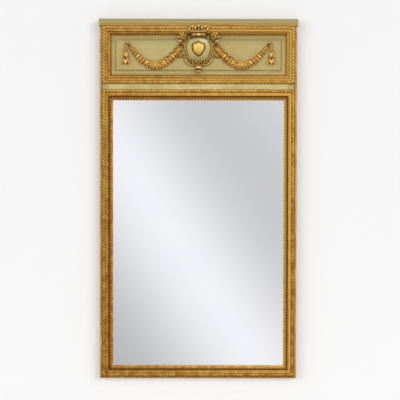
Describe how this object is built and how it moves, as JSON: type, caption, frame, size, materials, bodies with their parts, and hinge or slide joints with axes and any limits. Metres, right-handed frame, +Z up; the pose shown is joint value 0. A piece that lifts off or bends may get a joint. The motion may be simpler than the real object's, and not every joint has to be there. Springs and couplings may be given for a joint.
{
  "type": "pier mirror",
  "caption": "Tall wall mirror in a painted and gilded wood frame, with a plain plate below and a fielded panel above that carries a carved shield cartouche, swags and husk drops.",
  "frame": {"origin": "middle of the bottom edge, on the plane of the frame's back", "axes": "+Z up, +X to the right as seen from the front, +Y out of the back towards the wall"},
  "size_m": [0.89, 0.0598, 1.614],
  "materials": {
    "painted_wood": "aged sage paint, satin",
    "gilded_wood": "worn water gilding",
    "bare_wood": "old unpainted softwood",
    "silvered_glass": "polished, silvered",
    "iron": "dull, dark",
    "steel_wire": "dull zinc"
  },
  "bodies": {
    "root": {"acorn_drop": "gilded_wood", "back_board_1": "bare_wood", "back_board_2": "bare_wood", "back_board_3": "bare_wood", "back_board_4": "bare_wood", "board_nails": "iron", "bottom_bow": "gilded_wood", "cartouche_border_left": "gilded_wood", "cartouche_border_right": "gilded_wood", "cartouche_plate": "painted_wood", "coronet": "gilded_wood", "fielded_panel": "painted_wood", "flower_quiver_left": "gilded_wood", "flower_quiver_right": "gilded_wood", "glass_wedges": "bare_wood", "hanger_screws": "iron", "hanger_strap_left": "iron", "hanger_strap_right": "iron", "husk_drop_left": "gilded_wood", "husk_drop_right": "gilded_wood", "joint_pegs": "bare_wood", "mirror_glass": "silvered_glass", "mirror_rope_bottom": "gilded_wood", "mirror_rope_left": "gilded_wood", "mirror_rope_right": "gilded_wood", "mirror_rope_top": "gilded_wood", "mirror_sight_bottom": "gilded_wood", "mirror_sight_left": "gilded_wood", "mirror_sight_right": "gilded_wood", "mirror_sight_top": "gilded_wood", "panel_rope_bottom": "gilded_wood", "panel_rope_left": "gilded_wood", "panel_rope_right": "gilded_wood", "panel_rope_top": "gilded_wood", "panel_sight_bottom": "gilded_wood", "panel_sight_left": "gilded_wood", "panel_sight_right": "gilded_wood", "panel_sight_top": "gilded_wood", "quiver_tail_left": "gilded_wood", "quiver_tail_right": "gilded_wood", "rail_bottom": "painted_wood", "rail_middle": "painted_wood", "rail_top": "painted_wood", "shield": "gilded_wood", "stile_left": "painted_wood", "stile_right": "painted_wood", "swag_knot_left": "gilded_wood", "swag_knot_right": "gilded_wood", "swag_left": "gilded_wood", "swag_right": "gilded_wood", "top_cap": "painted_wood", "top_scroll": "gilded_wood"},
    "hanger_ring_left": {"hanger_ring_left": "steel_wire"},
    "hanger_ring_right": {"hanger_ring_right": "steel_wire"}
  },
  "joints": [
    {"name": "ring_left_swing", "type": "hinge", "parent": "root", "child": "hanger_ring_left", "pos_m": [-0.427, 0.0038, 1.414], "axis": [1, 0, 0], "range_deg": [0, 170]},
    {"name": "ring_right_swing", "type": "hinge", "parent": "root", "child": "hanger_ring_right", "pos_m": [0.427, 0.0038, 1.414], "axis": [1, 0, 0], "range_deg": [0, 170]}
  ]
}
